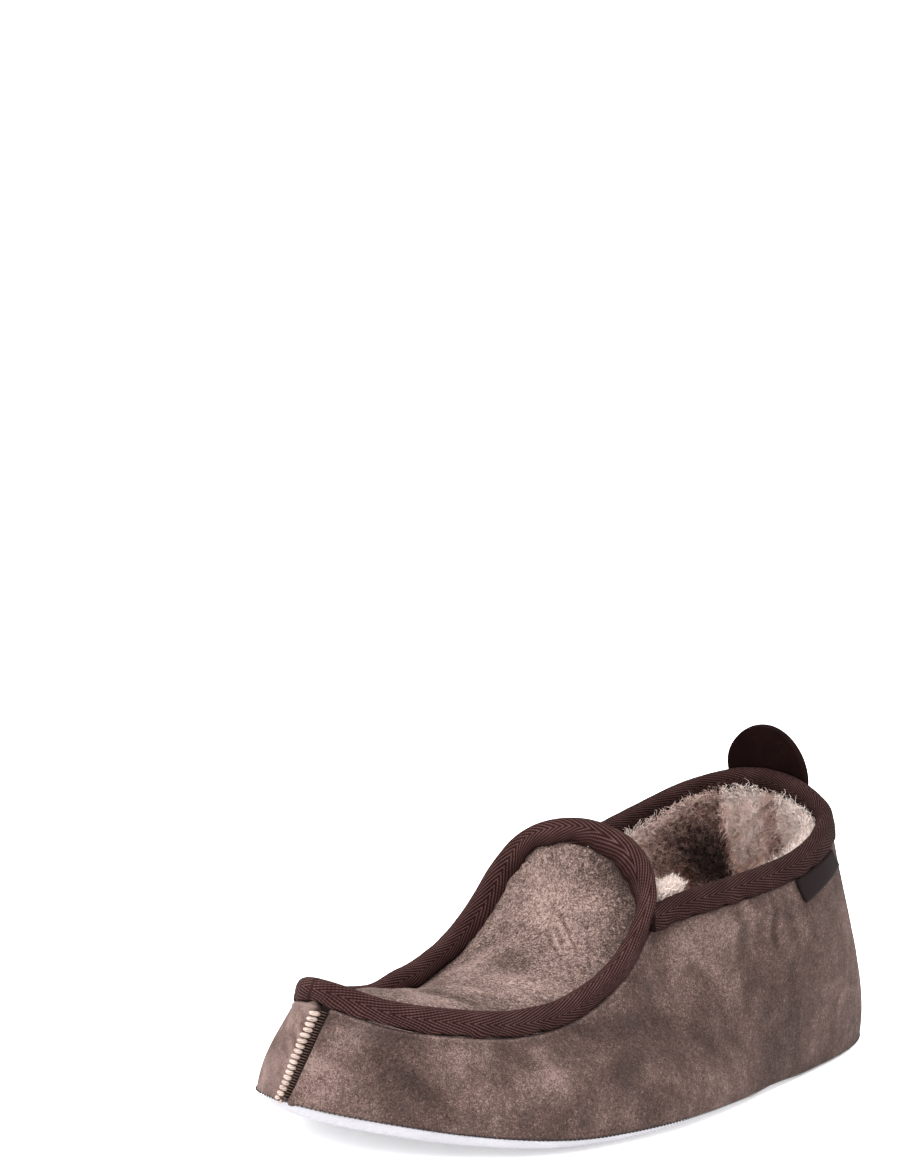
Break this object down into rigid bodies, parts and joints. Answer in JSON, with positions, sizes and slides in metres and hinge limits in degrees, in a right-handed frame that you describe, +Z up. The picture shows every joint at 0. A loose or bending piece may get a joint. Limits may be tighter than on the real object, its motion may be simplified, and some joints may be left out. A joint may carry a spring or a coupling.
{
  "type": "closed-heel sheepskin moccasin slipper",
  "caption": "Left sheepskin slipper with a closed heel, a domed apron with a tall front lobe, bound edges, a soft flat sole and a round heel tab.",
  "frame": {"origin": "on the floor under the middle of the shoe's length", "axes": "+Z up, toe at -Y, heel at +Y, outer side of the left foot at +X"},
  "size_m": [0.1193, 0.28, 0.1188],
  "materials": {
    "pale_sole_hide": "pale napped hide",
    "wool_fleece": "dense wool pile",
    "taupe_nubuck": "napped, blotchy taupe",
    "taupe_nubuck_apron": "napped, blotchy taupe",
    "plum_cotton_tape": "herringbone cotton tape",
    "dark_suede": "near-black suede",
    "black_satin": "satin ribbon"
  },
  "bodies": {
    "root": {"outsole": "pale_sole_hide", "insole": "wool_fleece", "upper": "taupe_nubuck", "apron": "taupe_nubuck_apron", "apron_binding": "plum_cotton_tape", "collar_binding": "plum_cotton_tape", "heel_tab": "dark_suede", "side_label": "black_satin"}
  },
  "joints": []
}
